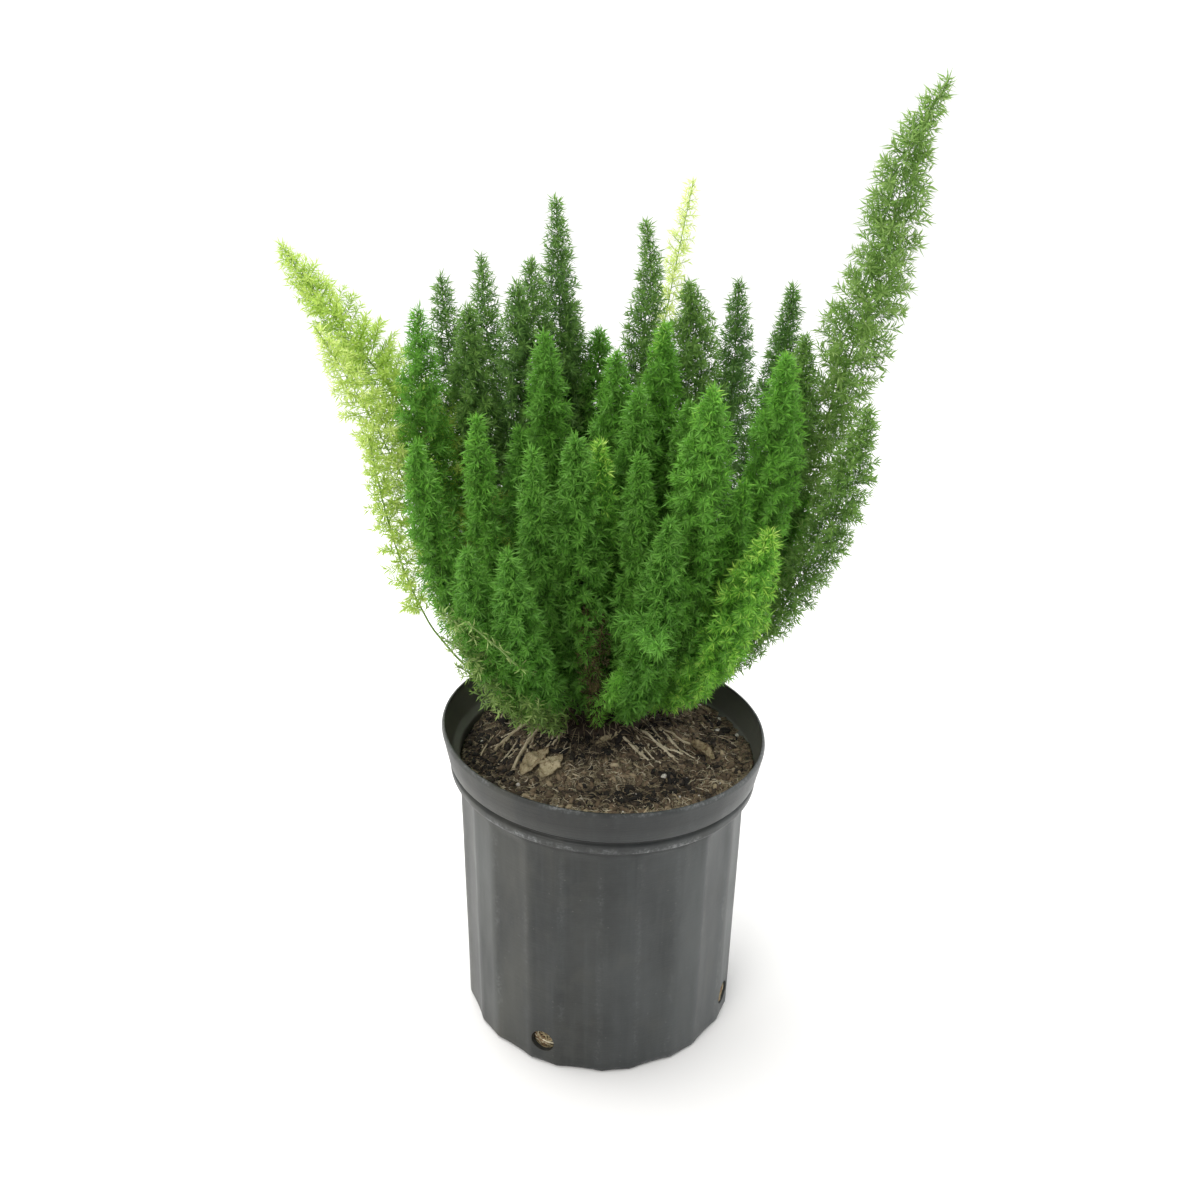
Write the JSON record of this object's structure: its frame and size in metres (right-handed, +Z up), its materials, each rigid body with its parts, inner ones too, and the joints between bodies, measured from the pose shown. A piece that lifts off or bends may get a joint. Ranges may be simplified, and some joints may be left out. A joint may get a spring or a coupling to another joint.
{
  "type": "potted foxtail fern",
  "caption": "Foxtail fern with upright bottle-brush fronds fanning out of a soil mound in a ribbed round nursery pot with a flared rim band and side drain holes.",
  "frame": {"origin": "centre of the pot's flat underside, on the surface it stands on", "axes": "+Z up the pot's axis; +Y to the back of the plant; +X to the side of the one tall frond"},
  "size_m": [0.4807, 0.3234, 0.748],
  "materials": {
    "can_plastic": "satin",
    "potting_mix": "matte",
    "rootstock": "matte",
    "dead_stem": "matte",
    "dry_leaf": "matte",
    "foliage": "satin",
    "young_foliage": "satin"
  },
  "bodies": {
    "root": {"pot": "can_plastic", "soil": "potting_mix", "rootstock": "rootstock", "dead_cane_1": "dead_stem", "dead_cane_2": "dead_stem", "dead_cane_3": "dead_stem", "dead_cane_4": "dead_stem", "dead_cane_5": "dead_stem", "dry_leaf_1": "dry_leaf", "dry_leaf_2": "dry_leaf", "dry_leaf_3": "dry_leaf", "frond_back_left": "foliage", "frond_back_mid": "foliage", "frond_back_pale": "young_foliage", "frond_back_right": "foliage", "frond_back_tall": "foliage", "frond_front_bright": "foliage", "frond_front_far_left": "foliage", "frond_front_left": "foliage", "frond_front_low_left": "foliage", "frond_front_low_right": "foliage", "frond_front_lowest": "foliage", "frond_front_nodding": "foliage", "frond_front_right": "foliage", "frond_front_yellow_tip": "foliage", "frond_left_back_edge": "foliage", "frond_left_back_inner": "foliage", "frond_left_back_spire": "foliage", "frond_left_edge": "foliage", "frond_left_front_edge": "foliage", "frond_left_front_inner": "foliage", "frond_left_front_low": "foliage", "frond_left_inner": "foliage", "frond_left_over_rim": "foliage", "frond_lime_left": "young_foliage", "frond_lime_left_back": "young_foliage", "frond_lime_left_sparse": "young_foliage", "frond_mid": "foliage", "frond_mid_front": "foliage", "frond_mid_left": "foliage", "frond_mid_left_back": "foliage", "frond_mid_left_front": "foliage", "frond_mid_right": "foliage", "frond_mid_right_back": "foliage", "frond_mid_right_front": "foliage", "frond_mid_spire": "foliage", "frond_rear_left": "foliage", "frond_rear_left_edge": "foliage", "frond_rear_mid_left": "foliage", "frond_rear_mid_right": "foliage", "frond_rear_right": "foliage", "frond_rear_right_edge": "foliage", "frond_right_arching": "foliage", "frond_right_bright": "foliage", "frond_right_edge_back": "foliage", "frond_right_front_inner": "foliage", "frond_right_front_low": "foliage", "frond_right_spire": "foliage", "frond_right_tall": "foliage", "frond_right_tall_companion": "foliage"}
  },
  "joints": []
}
